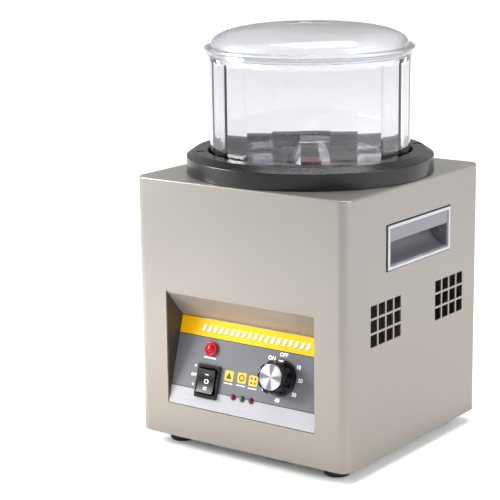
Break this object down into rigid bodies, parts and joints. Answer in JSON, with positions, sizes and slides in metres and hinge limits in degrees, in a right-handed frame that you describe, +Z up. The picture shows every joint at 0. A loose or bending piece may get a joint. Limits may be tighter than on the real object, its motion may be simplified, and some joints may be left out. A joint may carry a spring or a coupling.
{
  "type": "magnetic tumbler",
  "caption": "Square sheet-metal cabinet with a slanted timer panel that spins a magnet disc under a clear faceted bowl with a domed lid.",
  "frame": {"origin": "on the bench surface under the middle of the machine's box, level with the bottoms of the rubber feet", "axes": "+Z up along the rotor's axis, -Y towards the control panel at the front, +X to the right of someone facing the front"},
  "size_m": [0.2306, 0.2454, 0.3872],
  "materials": {
    "body_paint": "satin champagne grey powder coat",
    "ring_plastic": "satin black moulding",
    "clear_plastic": "clear polished polycarbonate",
    "rubber": "matt black",
    "panel_print": "printed yellow, grey and white bands",
    "control_plastic": "black moulding",
    "dial_metal": "spun bright aluminium",
    "lamp_red": "clear red",
    "lamp_green": "clear green",
    "boss_red": "deep red moulding",
    "handle_silver": "silver-grey moulding",
    "stainless": "brushed",
    "zinc_steel": "zinc plated",
    "cast_alloy": "as cast",
    "lamination": "stacked laminations",
    "copper_wire": "enamelled windings",
    "magnet_nickel": "nickel plated",
    "fan_plastic": "black moulding",
    "circuit_board": "green solder mask",
    "ivory_plastic": "ivory moulding"
  },
  "bodies": {
    "cabinet": {"cabinet_shell": "body_paint", "rear_panel": "body_paint", "base_plate": "zinc_steel", "recess_pan": "body_paint", "seat_ring": "ring_plastic", "ring_screw_1": "zinc_steel", "ring_screw_2": "zinc_steel", "well_plate": "stainless", "centre_boss": "boss_red", "panel_overlay": "panel_print", "rocker_housing": "control_plastic", "power_lamp_lens": "lamp_red", "power_lamp_body": "control_plastic", "led_left": "lamp_red", "led_centre": "lamp_green", "led_right": "lamp_red", "control_board": "circuit_board", "timer_body": "ivory_plastic", "motor_plate": "zinc_steel", "motor_top_bell": "cast_alloy", "motor_bottom_bell": "cast_alloy", "motor_can": "cast_alloy", "upper_bearing": "stainless", "lower_bearing": "stainless", "stator_core": "lamination", "upper_winding": "copper_wire", "lower_winding": "copper_wire", "run_capacitor": "dial_metal", "terminal_block": "ivory_plastic", "inlet_socket": "control_plastic", "foot_front_left": "rubber", "foot_front_right": "rubber", "foot_rear_left": "rubber", "foot_rear_right": "rubber", "handle_bezel_left": "handle_silver", "handle_cup_left": "handle_silver", "handle_gasket_left": "rubber", "handle_bezel_right": "handle_silver", "handle_cup_right": "handle_silver", "handle_gasket_right": "rubber", "motor_standoff_1": "zinc_steel", "motor_standoff_2": "zinc_steel", "motor_standoff_3": "zinc_steel", "motor_standoff_4": "zinc_steel"},
    "rotor": {"motor_shaft": "stainless", "rotor_core": "lamination", "magnet_disc": "dial_metal", "cooling_fan": "fan_plastic", "magnet_1": "magnet_nickel", "magnet_2": "magnet_nickel", "magnet_3": "magnet_nickel", "magnet_4": "magnet_nickel", "magnet_5": "magnet_nickel", "magnet_6": "magnet_nickel"},
    "timer_dial": {"timer_shaft": "zinc_steel", "dial_knob": "control_plastic", "dial_cap": "dial_metal"},
    "rocker": {"rocker_paddle": "control_plastic"},
    "bowl": {"bowl": "clear_plastic"},
    "lid": {"lid": "clear_plastic"}
  },
  "joints": [
    {"name": "rotor_spin", "type": "hinge", "parent": "cabinet", "child": "rotor", "pos_m": [0, 0, 0.15], "axis": [0, 0, 1], "continuous": true},
    {"name": "timer_turn", "type": "hinge", "parent": "cabinet", "child": "timer_dial", "pos_m": [0.038, -0.10297, 0.08395], "axis": [0, 0.9585, -0.2852], "range_deg": [-45, 270]},
    {"name": "rocker_tilt", "type": "hinge", "parent": "cabinet", "child": "rocker", "pos_m": [-0.04, -0.10835, 0.06865], "axis": [1, 0, 0], "range_deg": [-10, 10]},
    {"name": "bowl_lift", "type": "slide", "parent": "cabinet", "child": "bowl", "axis": [0, 0, 1], "range_m": [0, 0.06]},
    {"name": "lid_lift", "type": "slide", "parent": "bowl", "child": "lid", "axis": [0, 0, 1], "range_m": [0, 0.05]}
  ]
}
